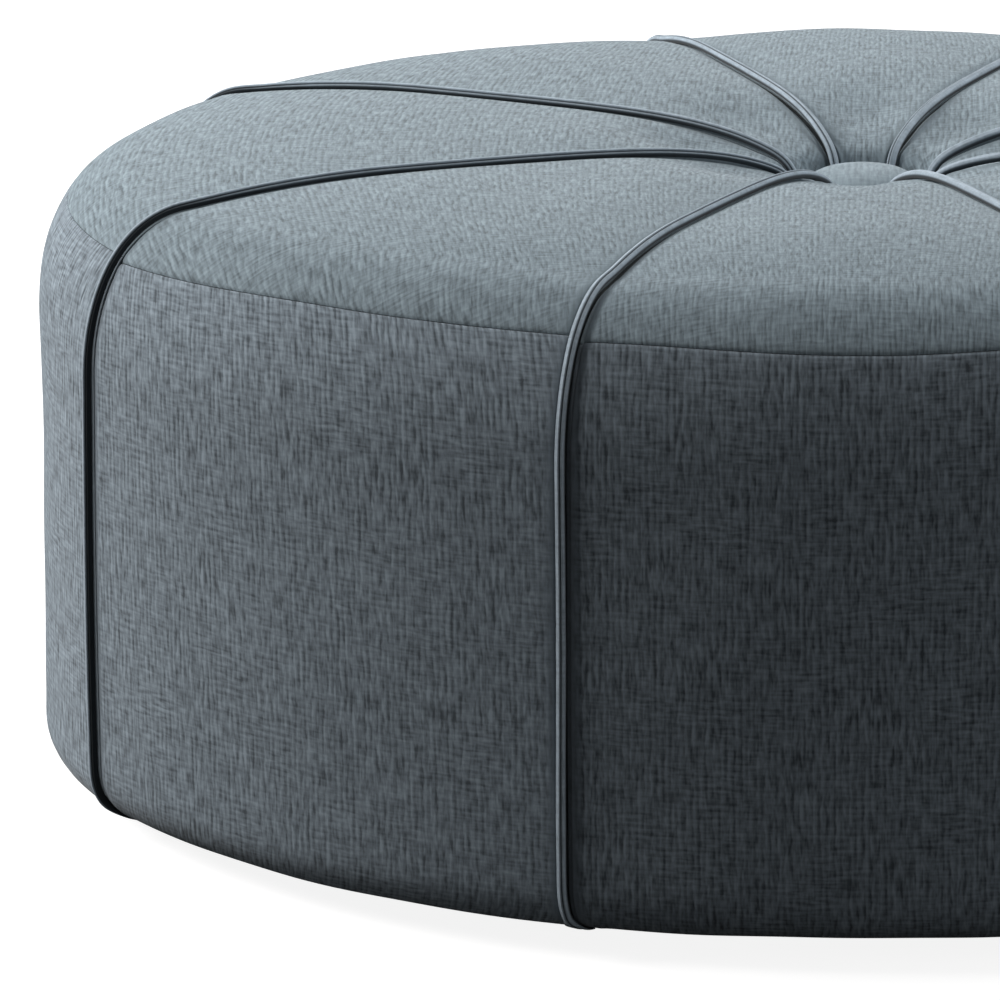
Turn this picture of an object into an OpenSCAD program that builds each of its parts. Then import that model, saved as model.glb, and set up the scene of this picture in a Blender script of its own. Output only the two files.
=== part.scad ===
// Oval tufted footstool with eight welted gores pulled into a covered button.
// Millimetres. The origin is on the floor under the button, +Z up, -Y is the front.

/* [Overall size] */
// Half of the overall width, at the middle of an end panel near the bottom
half_width = 477; // [440:1:530]
// Half of the overall depth, at the middle of the front panel near the bottom
half_depth = 390; // [360:1:420]
// Height of the cover's lowest face above the floor
foot_h = 12; // [10:0.5:18]
// Height of the crown above the floor, at the middle of a gore
crown_z = 375; // [355:1:410]

/* [Cover outline] */
// How much further out the sides stand near the bottom than at the top
flare = 4; // [0:0.5:12]
// Width of the rounded top edge, measured inwards
edge_run = 60; // [45:1:80]
// Height of the rounded top edge
edge_drop = 96; // [70:1:105]
// Fall of the crown from its highest ring to the start of the edge
crown_sag = 11; // [5:0.5:14]
// Where on the rounded edge the ring seam sits, 0 is the top and 90 the side
seam_turn = 44; // [35:1:60]
// Radius of the tuck at the bottom edge
tuck_r = 27; // [20:1:36]
// Width of the flat flap that is turned in under the base
flap_w = 34; // [28:1:60]
// How far the front and back panels bow out past a straight line between their welts
front_bow = 19.5; // [14:0.5:28]
// How far the four slanting panels bow out
slant_bow = 29; // [22:0.5:36]
// How far the two end panels bow out
end_bow = 48; // [40:0.5:54]
// How far a gore swells above the welts on the crown
gore_swell = 3; // [2:0.5:6]
// How far a gore swells above the welts where the edge begins
edge_swell = 2; // [1:0.5:6]
// How far a gore swells inside the well
well_swell = 2; // [1:0.5:3]
// Thickness of the cover fabric with its backing
fabric_t = 1.5; // [1:0.1:2]

/* [Button well] */
// Radius of the flat floor under the button
well_floor_r = 39; // [37:0.5:44]
// Radius of the lip where the well opens out
well_lip_r = 46; // [45:0.5:52]
// Depth of the floor below the crown at a welt
well_floor_depth = 44; // [38:1:52]
// Depth of the lip below the crown at a welt
well_lip_depth = 23; // [16:1:30]
// Length over which the well fades out into the crown
well_fade = 42; // [30:1:60]
// Radius where the gathered ends of the gores stop
gather_r = 14; // [13:0.5:17]

/* [Welts] */
// Diameter of a welt
welt_d = 6; // [5:0.2:8]
// Radius where a welt ends under the button
welt_in_r = 22; // [18:1:26]
// How far a welt's tail runs in under the base
welt_tail = 11; // [5:1:12]

/* [Button] */
// Diameter of the covered button
button_d = 68; // [60:1:70]
// Height of the button's dome above its rim
button_rise = 13; // [9:0.5:18]
// Depth of the button below its rim
button_under = 5.4; // [4.5:0.1:7]
// Thickness of the button's cover
button_cover_t = 1.2; // [0.8:0.1:1.6]
// Thickness of the wooden former in the button
former_t = 5; // [4:0.5:5.5]
// Half the distance between the twine's two legs
twine_reach = 8; // [6:0.5:9]
// Diameter of the twine
twine_d = 3; // [2:0.2:3.2]
// Diameter of the wooden toggle that holds the twine
toggle_d = 44; // [36:1:60]
// Thickness of the toggle
toggle_t = 10; // [8:0.5:14]

/* [Frame] */
// Foam and liner between the boards' edge and the side cover
wall_pad = 36; // [32:1:50]
// Thickness of the base board and the top board
board_t = 16; // [12:1:20]
// How far the top board's upper face lies below the lower end of the rounded edge
deck_drop = 12; // [6:1:24]
// Radius of the opening in the base board
base_hole_r = 160; // [100:5:240]
// Thickness of the fibreboard liner
liner_t = 3; // [2:0.5:4]
// Width of a square post
post_w = 45; // [35:1:50]
// Distance of a post's centre from the boards' edge
post_inset = 46; // [40:1:60]
// Diameter of a frame screw's shank
screw_d = 4.5; // [3.5:0.5:5]
// Length of a frame screw
screw_l = 60; // [45:5:80]
// Distance between the two screws in one end of a post
screw_gap = 26; // [24:1:28]
// Radius of the hole for the twine through foam and deck
twine_hole_r = 12; // [11:0.5:13]

/* [Underside] */
// Thickness of the dust cover
dust_t = 0.8; // [0.5:0.1:1]
// How far the dust cover laps over the flap
dust_lap = 16; // [8:1:17]
// Diameter of a glide
glide_d = 32; // [24:1:36]
// Diameter of the screw that holds a glide
glide_screw_d = 4; // [3:0.5:5]
// Length of the screw that holds a glide
glide_screw_l = 32; // [25:1:45]

/* [Fit] */
// Clearance between neighbouring pieces
gap = 0.3; // [0.2:0.05:0.4]

/* [Hidden] */
// Number of gores, panels and welts
gores = 8;
step = 360 / gores;
half = step / 2;
// Direction of the first gore, which faces the front
front = 270;
// Panels come in four kinds in turn: front or back, slanting, end, slanting back
kinds = 4;
welt_r = welt_d / 2;
// How far the welt's centre stands outside the cover's outer face
welt_out = welt_r - fabric_t;
// How far a gore or panel stops from the middle of a welt
edge_gap = welt_r + gap;
// How far the foam lies inside the cover's outer face
under = fabric_t + gap;
// The crown is highest at this share of the way to the rounded edge
ridge_share = 0.69;
// Rings crowd towards the well by this power
crowding = 1.7;
// Radii of the welts beside the front and back panels, and beside the end panels
near_r = (half_depth - flare - front_bow) / cos(half);
far_r = (half_width - flare - end_bow) / cos(half);
// Heights where the outline changes
edge_z = crown_z - crown_sag - edge_drop;
tuck_z = foot_h + tuck_r;
deck_z = edge_z - deck_drop;
// Radii on the crown are measured at the middle of an end gore
rim_r = half_width - flare - edge_run;
ridge_r = rim_r * ridge_share;
// Insets from the outline at the top of the sides, outwards is negative
flap_in = tuck_r + flap_w - flare;
welt_tail_in = tuck_r + welt_tail - flare;
dust_in = flap_in - dust_lap;
liner_in = wall_pad - gap;
foam_in = liner_in - liner_t - gap;
// Heights of the frame's pieces
base_z = foot_h + under;
post_z = base_z + board_t + gap;
post_h = deck_z - board_t - gap - post_z;
// Height of the button's lowest face, on top of the welts
button_z = crown_z - gore_swell - well_floor_depth + welt_out + welt_r + gap;
// Counts of stations and columns in the soft pieces
crown_rings = 6;
edge_rings = 4;
side_rings = 4;
tuck_rings = 5;
cols = 6;
welt_sides = 8;
// Points of a board's outline along one panel
board_points = 12;
// Room for cuts to run past a face
over = 1;
$fn = 96;

// Depth of the well below the crown at radius r
function well_dip(r) =
    r <= well_floor_r ? well_floor_depth :
    r < well_lip_r ? well_floor_depth + (well_lip_depth - well_floor_depth)
        * (r - well_floor_r) / (well_lip_r - well_floor_r) :
    well_lip_depth * exp(-(r - well_lip_r) / well_fade);

// Fall of the crown outside its highest ring, at a welt
function crown_fall(r) =
    (crown_sag + edge_swell - gore_swell) * pow(max(0, r - ridge_r) / (rim_r - ridge_r), 2);

// Swell of a gore above the welts at radius r
function swell(r) =
    r <= well_lip_r ? well_swell :
    r < ridge_r ? well_swell + (gore_swell - well_swell) * (r - well_lip_r) / (ridge_r - well_lip_r) :
    gore_swell + (edge_swell - gore_swell) * (r - ridge_r) / (rim_r - ridge_r);

// Radii of the welts at the two sides of a panel of one kind
function first_r(kind) = kind < 2 ? near_r : far_r;
function last_r(kind) = kind == 0 || kind == 3 ? near_r : far_r;
function bow(kind) = kind == 0 ? front_bow : kind == 2 ? end_bow : slant_bow;

// A panel is an arc between its two welts. Its middle direction is +X here
function spot(r, a) = [r * cos(a), r * sin(a)];
arc_rs = [for (kind = [0:kinds - 1])
    let (h = norm(spot(last_r(kind), half) - spot(first_r(kind), -half)) / 2)
    (h * h + bow(kind) * bow(kind)) / (2 * bow(kind))];
arc_centres = [for (kind = [0:kinds - 1])
    let (p = spot(first_r(kind), -half), q = spot(last_r(kind), half), d = q - p)
    (p + q) / 2 - [d[1], -d[0]] / norm(d) * (arc_rs[kind] - bow(kind))];

// Radius of that arc at angle a, moved in by d
function arc_at(kind, a, d) =
    let (c = arc_centres[kind], x = c[0] * sin(a) - c[1] * cos(a))
    c[0] * cos(a) + c[1] * sin(a) + sqrt(pow(arc_rs[kind] - d, 2) - x * x);

// Half the step between neighbouring arcs, in the plane of the welt after this panel
function misfit(kind, d) = (arc_at((kind + 1) % kinds, -half, d) - arc_at(kind, half, d)) / 2;

// The same radius, eased so that neighbouring panels meet at their welt
function plan_r(kind, a, d) =
    arc_at(kind, a, d)
    - misfit((kind + kinds - 1) % kinds, d) * (half - a) / step
    + misfit(kind, d) * (half + a) / step;

// Points of the whole outline, moved in by d
function outline(d) = [for (g = [0:gores - 1]) for (j = [0:board_points - 1])
    let (a = step * j / board_points - half)
    spot(plan_r(g % kinds, a, d), front + g * step + a)];

// Share of the swell that is left at angle a from a gore's middle
function lobe(a) = 1 - pow(a / half, 2);

// A station of the outline is its radius, its height at a gore's middle and its swell.
// From the rounded edge on it has its inset as well, and its radius is the panel's
function crown_station(r) =
    [r, crown_z - gore_swell - well_dip(r) - crown_fall(r) + swell(r), swell(r)];
function edge_station(u) =
    [rim_r, edge_z + edge_drop * cos(u),
        edge_swell * max(0, (cos(u) - cos(seam_turn)) / (1 - cos(seam_turn))),
        edge_run * (1 - sin(u))];
function side_station(z) =
    [rim_r, z, 0, -flare * sin(90 * (edge_z - z) / (edge_z - tuck_z))];
function tuck_station(u) =
    [rim_r, tuck_z - tuck_r * sin(u), 0, tuck_r * (1 - cos(u)) - flare];

// Radius of a station of one kind of panel at angle a. The well is round, the rim is not
function station_r(p, kind, a) =
    len(p) > 3 ? plan_r(kind, a, p[3]) :
    let (w = max(0, p[0] - well_lip_r) / (rim_r - well_lip_r))
    p[0] * (1 + w * (plan_r(kind, a, edge_run) / rim_r - 1));

// The outline from the gathered middle out to the seam, and from the seam down and under
well_line = [for (r = [well_floor_r - 5, well_floor_r, well_lip_r]) crown_station(r)];
crown_line = [for (i = [1:crown_rings])
    crown_station(well_lip_r + (rim_r - well_lip_r) * pow(i / crown_rings, crowding))];
edge_line = [for (i = [1:edge_rings]) edge_station(seam_turn * i / edge_rings)];
shoulder_line = [for (i = [1:edge_rings]) edge_station(seam_turn + (90 - seam_turn) * i / edge_rings)];
side_line = [for (i = [1:side_rings]) side_station(edge_z + (tuck_z - edge_z) * i / side_rings)];
side_line_low = [for (p = side_line) if (p[1] < deck_z - over) p];
tuck_line = [for (i = [1:tuck_rings]) tuck_station(90 * i / tuck_rings)];
top_line = concat(well_line, crown_line, edge_line);

// Angle from a gore's middle at share s of its width, up to where its fabric stops
function turned(p, kind, s) =
    s * (half - asin(edge_gap / station_r(p, kind, s < 0 ? -half : half)));

// A column of points down a gore at share s of its width, each [radius, height, angle]
function column(line, kind, s) = [for (p = line)
    let (a = turned(p, kind, s))
    [station_r(p, kind, a), p[1] - p[2] * (1 - lobe(a)), a]];

// Outward normal of a line at point i, lengthened at a bend so that an offset stays even
function unit(v) = v / norm(v);
function side_of(a, b) = unit([a[1] - b[1], b[0] - a[0]]);
function normal(line, i) =
    let (n1 = side_of(line[max(0, i - 1)], line[max(1, i)]),
        n2 = side_of(line[min(len(line) - 2, i)], line[min(len(line) - 1, i + 1)]),
        m = unit(n1 + n2))
    m / (m * n1);

// A line moved outwards by d, or inwards if d is negative
function moved(line, d) = [for (i = [0:len(line) - 1])
    let (n = normal(line, i))
    [line[i][0] + n[0] * d, line[i][1] + n[1] * d, line[i][2]]];

// Radius, height and angle to a point in space
function place(p) = [p[0] * cos(p[2]), p[0] * sin(p[2]), p[1]];

// Two triangles that join the points at a, b, c and d in turn
function quad(a, b, c, d) = [[a, b, c], [a, c, d]];

// Triangles of a tube or closed belt of rings, each with n points
function belt(n, rings) = [for (i = [0:rings - 2]) for (j = [0:n - 1])
    for (t = quad(i * n + j, (i + 1) * n + j, (i + 1) * n + (j + 1) % n, i * n + (j + 1) % n)) t];

// One gore is a sheet of fabric from the gathered middle to the seam
module gore(kind) {
    line = concat([crown_station(gather_r)], top_line);
    columns = [for (j = [0:cols]) column(line, kind, 2 * j / cols - 1)];
    inner = [for (c = columns) moved(c, -fabric_t)];
    n = len(columns[0]);
    m = cols + 1;
    points = concat([for (c = columns) for (p = c) place(p)], [for (c = inner) for (p = c) place(p)]);
    low = m * n;
    faces = concat(
        [for (j = [0:cols - 1]) for (i = [0:n - 2])
            for (t = quad(j * n + i, (j + 1) * n + i, (j + 1) * n + i + 1, j * n + i + 1)) t],
        [for (j = [0:cols - 1]) for (i = [0:n - 2])
            for (t = quad(j * n + i, j * n + i + 1, (j + 1) * n + i + 1, (j + 1) * n + i))
                [low + t[0], low + t[1], low + t[2]]],
        [for (i = [0:n - 2]) for (t = quad(i, i + 1, low + i + 1, low + i)) t],
        [for (i = [0:n - 2]) let (e = cols * n)
            for (t = quad(e + i, low + e + i, low + e + i + 1, e + i + 1)) t],
        [for (j = [0:cols - 1]) for (t = quad(j * n, low + j * n, low + (j + 1) * n, (j + 1) * n)) t],
        [for (j = [0:cols - 1]) let (e = n - 1)
            for (t = quad(j * n + e, (j + 1) * n + e, low + (j + 1) * n + e, low + j * n + e)) t]);
    polyhedron(points = points, faces = faces, convexity = 6);
}

// The crowned pad under the gores, with the same facets as their inner faces
module crown_foam() {
    line = concat([crown_station(twine_hole_r)], top_line, shoulder_line, [side_station(deck_z + gap)]);
    columns = [for (g = [0:gores - 1]) for (j = [0:cols])
        let (c = moved(column(line, g % kinds, 2 * j / cols - 1), -under), e = len(c) - 1)
        [for (i = [0:e])
            [c[i][0], i == e ? deck_z + gap : c[i][1], c[i][2] + g * step]]];
    n = len(columns);
    rows = len(line);
    points = concat(
        [for (i = [0:rows - 1]) for (c = columns) place(c[i])],
        [for (c = columns) place([twine_hole_r, deck_z + gap, c[0][2]])]);
    count = rows + 1;
    faces = concat(
        [for (f = belt(n, count)) [f[0], f[2], f[1]]],
        [for (j = [0:n - 1]) let (e = rows * n)
            for (t = quad(e + j, e + (j + 1) % n, (j + 1) % n, j)) [t[0], t[2], t[1]]]);
    polyhedron(points = points, faces = faces, convexity = 6);
}

// A welt lies in the upright plane after a gore of one kind, on the foam
module welt(kind) {
    line = concat([crown_station(welt_in_r)], top_line, shoulder_line, side_line, tuck_line,
        [[rim_r, foot_h, 0, welt_tail_in]]);
    beside = column(line, kind, 1);
    seat = [for (i = [0:len(line) - 1])
        [sqrt(pow(station_r(line[i], kind, half), 2) - pow(edge_gap, 2)), beside[i][1], 0]];
    route = moved(seat, welt_out);
    n = welt_sides;
    rows = len(route);
    points = [for (i = [0:rows - 1]) let (m = normal(route, i)) for (j = [0:n - 1])
        let (a = 360 * j / n)
        [route[i][0] + welt_r * cos(a) * m[0], welt_r * sin(a), route[i][1] + welt_r * cos(a) * m[1]]];
    faces = concat(belt(n, rows),
        [for (j = [1:n - 2]) [0, j, j + 1]],
        [for (j = [1:n - 2]) let (e = (rows - 1) * n) [e, e + j + 1, e + j]]);
    polyhedron(points = points, faces = faces, convexity = 6);
}

// The wedge that one panel may fill, stopping a little short of the welts' planes
module wedge(short) {
    tip = short / sin(half);
    far = 2 * half_width;
    translate([0, 0, -over])
        linear_extrude(height = crown_z + 2 * over)
            polygon([[tip, 0], [tip + far * cos(half), -far * sin(half)],
                [tip + far * cos(half), far * sin(half)]]);
}

// The side cover from the seam down, rounded under the base and turned in.
// It is swept round the axis of its own arc
seam_start = edge_station(seam_turn + gap / edge_run * 180 / PI);
panel_line = concat([seam_start], shoulder_line, side_line, tuck_line, [[rim_r, foot_h, 0, flap_in]]);
function swept(line, kind) = [for (p = line) [arc_rs[kind] - p[3], p[1], 0]];
module panel(kind) {
    line = swept(panel_line, kind);
    inner = moved(line, -fabric_t);
    e = len(line) - 1;
    intersection() {
        wedge(edge_gap);
        translate(arc_centres[kind])
            rotate_extrude($fn = 180)
                polygon(concat([for (p = line) [p[0], p[1]]],
                    [for (i = [0:e]) [inner[e - i][0], inner[e - i][1]]]));
    }
}

// The foam behind one panel, from the liner out to the panel's inner face
module panel_foam(kind) {
    line = concat([side_station(deck_z)], side_line_low, tuck_line);
    inner = moved(swept(line, kind), -under);
    e = len(inner) - 1;
    outer = [for (i = [0:e]) [inner[i][0], i == 0 ? deck_z : inner[i][1]]];
    core_r = arc_rs[kind] - 3 * wall_pad;
    difference() {
        intersection() {
            wedge(gap / 2);
            translate(arc_centres[kind])
                rotate_extrude($fn = 180)
                    polygon(concat([[core_r, deck_z]], outer, [[core_r, base_z]]));
        }
        rotate([0, 0, -front - step * kind])
            translate([0, 0, -over])
                linear_extrude(height = crown_z)
                    polygon(outline(foam_in));
    }
}

// Puts a piece at the middle of gore k, or at the welt after it
module at_gore(k) {
    rotate([0, 0, front + step * (k - 1)])
        children();
}
module at_welt(k) {
    rotate([0, 0, front + step * (k - 1) + half])
        children();
}

// Button

// Half outline of the button, moved in by d, fuller than an ellipse at its rim
button_full = 0.7;
button_steps = 12;
button_hole_r = button_d * 0.3;
function button_edge(d) = [for (i = [0:button_steps])
    let (a = 90 - 180 * i / button_steps, rise = a > 0 ? button_rise : button_under)
    [max(0, (button_d / 2 - d) * pow(max(0, cos(a)), button_full)),
        button_z + button_under + (rise - d) * sin(a)]];
former_z = button_z + button_cover_t + gap;
pad_z = former_z + former_t + gap;

module button_cover() {
    color([0.42, 0.46, 0.50])
        rotate_extrude()
            difference() {
                polygon(button_edge(0));
                polygon(button_edge(button_cover_t));
                // The cover is drawn in under the former and leaves a hole for the twine
                translate([0, button_z - over])
                    square([button_hole_r, over + button_under / 2]);
            }
}
module button_pad() {
    color([0.93, 0.91, 0.82])
        difference() {
            rotate_extrude()
                intersection() {
                    polygon(button_edge(button_cover_t + gap));
                    translate([0, pad_z])
                        square([button_d, button_d]);
                }
            // Room for the twine where it crosses the former
            translate([-twine_reach - twine_d, -twine_d / 2 - gap, pad_z - over])
                cube([2 * (twine_reach + twine_d), twine_d + 2 * gap, over + twine_d + gap]);
        }
}
module button_former() {
    color([0.80, 0.68, 0.48])
        difference() {
            rotate_extrude()
                intersection() {
                    polygon(button_edge(button_cover_t + gap));
                    translate([0, former_z])
                        square([button_d, former_t]);
                }
            for (x = [-twine_reach, twine_reach])
                translate([x, 0, former_z - over])
                    cylinder(d = twine_d + 2 * gap, h = former_t + 2 * over);
        }
}

// The twine is one loop, over the former and under the toggle
toggle_z = deck_z - board_t - gap - toggle_t;
twine_top = pad_z + twine_d / 2;
twine_low = toggle_z - gap - twine_d / 2;
bend_r = twine_d;
module twine_bend() {
    rotate([90, 0, 0])
        rotate_extrude(angle = 90)
            translate([bend_r, 0])
                circle(d = twine_d);
}
module button_twine() {
    color([0.86, 0.82, 0.70])
        for (m = [0, 1])
            mirror([m, 0, 0]) {
                translate([twine_reach, 0, twine_low + bend_r])
                    cylinder(d = twine_d, h = twine_top - twine_low - 2 * bend_r);
                translate([twine_reach - bend_r, 0, twine_top - bend_r])
                    twine_bend();
                translate([twine_reach - bend_r, 0, twine_low + bend_r])
                    mirror([0, 0, 1])
                        twine_bend();
                for (z = [twine_low, twine_top])
                    translate([0, 0, z])
                        rotate([0, 90, 0])
                            cylinder(d = twine_d, h = twine_reach - bend_r);
            }
}
module twine_toggle() {
    color([0.76, 0.60, 0.38])
        translate([0, 0, toggle_z])
            difference() {
                cylinder(d = toggle_d, h = toggle_t);
                for (x = [-twine_reach, twine_reach])
                    translate([x, 0, -over])
                        cylinder(d = twine_d + 2 * gap, h = toggle_t + 2 * over);
            }
}

// Foam

module top_foam() {
    color([0.94, 0.90, 0.70])
        rotate([0, 0, front])
            crown_foam();
}

// Frame

head_d = 2 * screw_d;
head_land = 0.4;
head_h = screw_d / 2 + head_land;
// Distance of post k's centre from the middle
function post_r(k) = last_r((k - 1) % kinds) - wall_pad - post_inset;
// Screw with its flat head up, the head's face at the origin
module frame_screw() {
    translate([0, 0, -screw_l])
        cylinder(d = screw_d, h = screw_l);
    translate([0, 0, -head_h])
        cylinder(d1 = screw_d, d2 = head_d, h = head_h);
}
module frame_screw_hole() {
    translate([0, 0, -screw_l - gap])
        cylinder(d = screw_d + gap, h = screw_l + 2 * gap);
    translate([0, 0, -head_h - gap / 2])
        cylinder(d1 = screw_d + gap, d2 = head_d + gap, h = head_h + gap / 2);
    translate([0, 0, -gap / 2])
        cylinder(d = head_d + gap, h = over);
}
// Two screws side by side in the top of post k, and two in its foot
module deck_pair(k) {
    at_welt(k)
        for (y = [-screw_gap / 2, screw_gap / 2])
            translate([post_r(k), y, deck_z - gap])
                children();
}
module base_pair(k) {
    at_welt(k)
        for (y = [-screw_gap / 2, screw_gap / 2])
            translate([post_r(k), y, base_z + gap])
                mirror([0, 0, 1])
                    children();
}
module post(k) {
    color([0.84, 0.72, 0.52])
        difference() {
            at_welt(k)
                translate([post_r(k) - post_w / 2, -post_w / 2, post_z])
                    cube([post_w, post_w, post_h]);
            deck_pair(k)
                frame_screw_hole();
            base_pair(k)
                frame_screw_hole();
            at_welt(k)
                translate([post_r(k), 0, 0])
                    cylinder(d = glide_screw_d + gap, h = glide_head_z + glide_screw_l + over);
        }
}
module base_board() {
    color([0.78, 0.64, 0.44])
        difference() {
            translate([0, 0, base_z])
                linear_extrude(height = board_t)
                    polygon(outline(wall_pad));
            translate([0, 0, base_z - over])
                cylinder(r = base_hole_r, h = board_t + 2 * over);
            for (k = [1:gores]) {
                base_pair(k)
                    frame_screw_hole();
                at_welt(k)
                    translate([post_r(k), 0, 0])
                        cylinder(d = glide_screw_d + gap, h = base_z + board_t + over);
            }
        }
}
module top_board() {
    color([0.80, 0.66, 0.46])
        difference() {
            translate([0, 0, deck_z - board_t])
                linear_extrude(height = board_t)
                    polygon(outline(wall_pad));
            translate([0, 0, deck_z - board_t - over])
                cylinder(r = twine_hole_r, h = board_t + 2 * over);
            for (k = [1:gores])
                deck_pair(k)
                    frame_screw_hole();
        }
}
module side_liner() {
    color([0.62, 0.50, 0.34])
        translate([0, 0, base_z])
            difference() {
                linear_extrude(height = deck_z - base_z)
                    polygon(outline(liner_in - liner_t));
                translate([0, 0, -over])
                    linear_extrude(height = deck_z - base_z + 2 * over)
                        polygon(outline(liner_in));
            }
}
module deck_screws() {
    color([0.80, 0.74, 0.50])
        for (k = [1:gores])
            deck_pair(k)
                frame_screw();
}
module base_screws() {
    color([0.80, 0.74, 0.50])
        for (k = [1:gores])
            base_pair(k)
                frame_screw();
}

// Underside

dust_z = foot_h - gap - dust_t;
glide_h = dust_z - gap;
glide_round = 3;
glide_head_z = 3.2;
glide_head_t = 2;
module dust_cover() {
    color([0.10, 0.10, 0.11])
        difference() {
            translate([0, 0, dust_z])
                linear_extrude(height = dust_t)
                    polygon(outline(dust_in));
            for (k = [1:gores])
                at_welt(k)
                    translate([post_r(k), 0, 0])
                        cylinder(d = glide_screw_d + gap, h = foot_h + over);
        }
}
module glides() {
    color([0.16, 0.16, 0.17])
        for (k = [1:gores])
            at_welt(k)
                translate([post_r(k), 0, 0])
                    difference() {
                        union() {
                            cylinder(d1 = glide_d - 2 * glide_round, d2 = glide_d, h = glide_round);
                            translate([0, 0, glide_round])
                                cylinder(d = glide_d, h = glide_h - glide_round);
                        }
                        translate([0, 0, -over])
                            cylinder(d = 2 * glide_screw_d + 1, h = over + glide_head_z);
                        cylinder(d = glide_screw_d + gap, h = glide_h + over);
                    }
}
module glide_screws() {
    color([0.72, 0.72, 0.74])
        for (k = [1:gores])
            at_welt(k)
                translate([post_r(k), 0, glide_head_z - gap]) {
                    translate([0, 0, -glide_head_t])
                        cylinder(d = 2 * glide_screw_d, h = glide_head_t);
                    cylinder(d = glide_screw_d, h = glide_screw_l);
                }
}

// Cover

cloth = [0.44, 0.48, 0.52];
cloth_b = [0.38, 0.42, 0.46];
piping = [0.50, 0.54, 0.58];
module top_gore_1() {
    color(cloth)
        at_gore(1)
            gore(0);
}
module top_gore_2() {
    color(cloth)
        at_gore(2)
            gore(1);
}
module top_gore_3() {
    color(cloth)
        at_gore(3)
            gore(2);
}
module top_gore_4() {
    color(cloth)
        at_gore(4)
            gore(3);
}
module top_gore_5() {
    color(cloth)
        at_gore(5)
            gore(0);
}
module top_gore_6() {
    color(cloth)
        at_gore(6)
            gore(1);
}
module top_gore_7() {
    color(cloth)
        at_gore(7)
            gore(2);
}
module top_gore_8() {
    color(cloth)
        at_gore(8)
            gore(3);
}
module side_panel_1() {
    color(cloth_b)
        at_gore(1)
            panel(0);
}
module side_panel_2() {
    color(cloth_b)
        at_gore(2)
            panel(1);
}
module side_panel_3() {
    color(cloth_b)
        at_gore(3)
            panel(2);
}
module side_panel_4() {
    color(cloth_b)
        at_gore(4)
            panel(3);
}
module side_panel_5() {
    color(cloth_b)
        at_gore(5)
            panel(0);
}
module side_panel_6() {
    color(cloth_b)
        at_gore(6)
            panel(1);
}
module side_panel_7() {
    color(cloth_b)
        at_gore(7)
            panel(2);
}
module side_panel_8() {
    color(cloth_b)
        at_gore(8)
            panel(3);
}
module welt_1() {
    color(piping)
        at_welt(1)
            welt(0);
}
module welt_2() {
    color(piping)
        at_welt(2)
            welt(1);
}
module welt_3() {
    color(piping)
        at_welt(3)
            welt(2);
}
module welt_4() {
    color(piping)
        at_welt(4)
            welt(3);
}
module welt_5() {
    color(piping)
        at_welt(5)
            welt(0);
}
module welt_6() {
    color(piping)
        at_welt(6)
            welt(1);
}
module welt_7() {
    color(piping)
        at_welt(7)
            welt(2);
}
module welt_8() {
    color(piping)
        at_welt(8)
            welt(3);
}
module side_foam_1() {
    color([0.92, 0.86, 0.66])
        at_gore(1)
            panel_foam(0);
}
module side_foam_2() {
    color([0.92, 0.86, 0.66])
        at_gore(2)
            panel_foam(1);
}
module side_foam_3() {
    color([0.92, 0.86, 0.66])
        at_gore(3)
            panel_foam(2);
}
module side_foam_4() {
    color([0.92, 0.86, 0.66])
        at_gore(4)
            panel_foam(3);
}
module side_foam_5() {
    color([0.92, 0.86, 0.66])
        at_gore(5)
            panel_foam(0);
}
module side_foam_6() {
    color([0.92, 0.86, 0.66])
        at_gore(6)
            panel_foam(1);
}
module side_foam_7() {
    color([0.92, 0.86, 0.66])
        at_gore(7)
            panel_foam(2);
}
module side_foam_8() {
    color([0.92, 0.86, 0.66])
        at_gore(8)
            panel_foam(3);
}
module post_1() {
    post(1);
}
module post_2() {
    post(2);
}
module post_3() {
    post(3);
}
module post_4() {
    post(4);
}
module post_5() {
    post(5);
}
module post_6() {
    post(6);
}
module post_7() {
    post(7);
}
module post_8() {
    post(8);
}

top_gore_1();
top_gore_2();
top_gore_3();
top_gore_4();
top_gore_5();
top_gore_6();
top_gore_7();
top_gore_8();
side_panel_1();
side_panel_2();
side_panel_3();
side_panel_4();
side_panel_5();
side_panel_6();
side_panel_7();
side_panel_8();
welt_1();
welt_2();
welt_3();
welt_4();
welt_5();
welt_6();
welt_7();
welt_8();
side_foam_1();
side_foam_2();
side_foam_3();
side_foam_4();
side_foam_5();
side_foam_6();
side_foam_7();
side_foam_8();
post_1();
post_2();
post_3();
post_4();
post_5();
post_6();
post_7();
post_8();
button_cover();
button_pad();
button_former();
button_twine();
twine_toggle();
top_foam();
side_liner();
top_board();
base_board();
deck_screws();
base_screws();
dust_cover();
glides();
glide_screws();
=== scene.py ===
import math

import bpy
import numpy as np
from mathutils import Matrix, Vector


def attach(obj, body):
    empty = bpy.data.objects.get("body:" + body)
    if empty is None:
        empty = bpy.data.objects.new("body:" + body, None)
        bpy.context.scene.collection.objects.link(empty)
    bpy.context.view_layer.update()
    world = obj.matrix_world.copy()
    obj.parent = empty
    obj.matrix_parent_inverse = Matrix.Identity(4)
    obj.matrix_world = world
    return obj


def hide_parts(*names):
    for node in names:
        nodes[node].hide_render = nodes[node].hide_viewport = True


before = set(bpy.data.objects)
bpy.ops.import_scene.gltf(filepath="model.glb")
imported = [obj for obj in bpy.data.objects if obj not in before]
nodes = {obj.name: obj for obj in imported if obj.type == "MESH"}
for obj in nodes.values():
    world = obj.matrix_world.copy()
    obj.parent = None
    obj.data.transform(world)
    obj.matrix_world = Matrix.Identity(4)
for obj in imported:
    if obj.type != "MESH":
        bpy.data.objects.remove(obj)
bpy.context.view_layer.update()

# Sizes of the CAD part, in millimetres
HALF_WIDTH, HALF_DEPTH, FOOT_H, CROWN_Z = 477.0, 390.0, 12.0, 375.0
FLARE, EDGE_RUN, EDGE_DROP, CROWN_SAG = 4.0, 60.0, 96.0, 11.0
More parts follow.
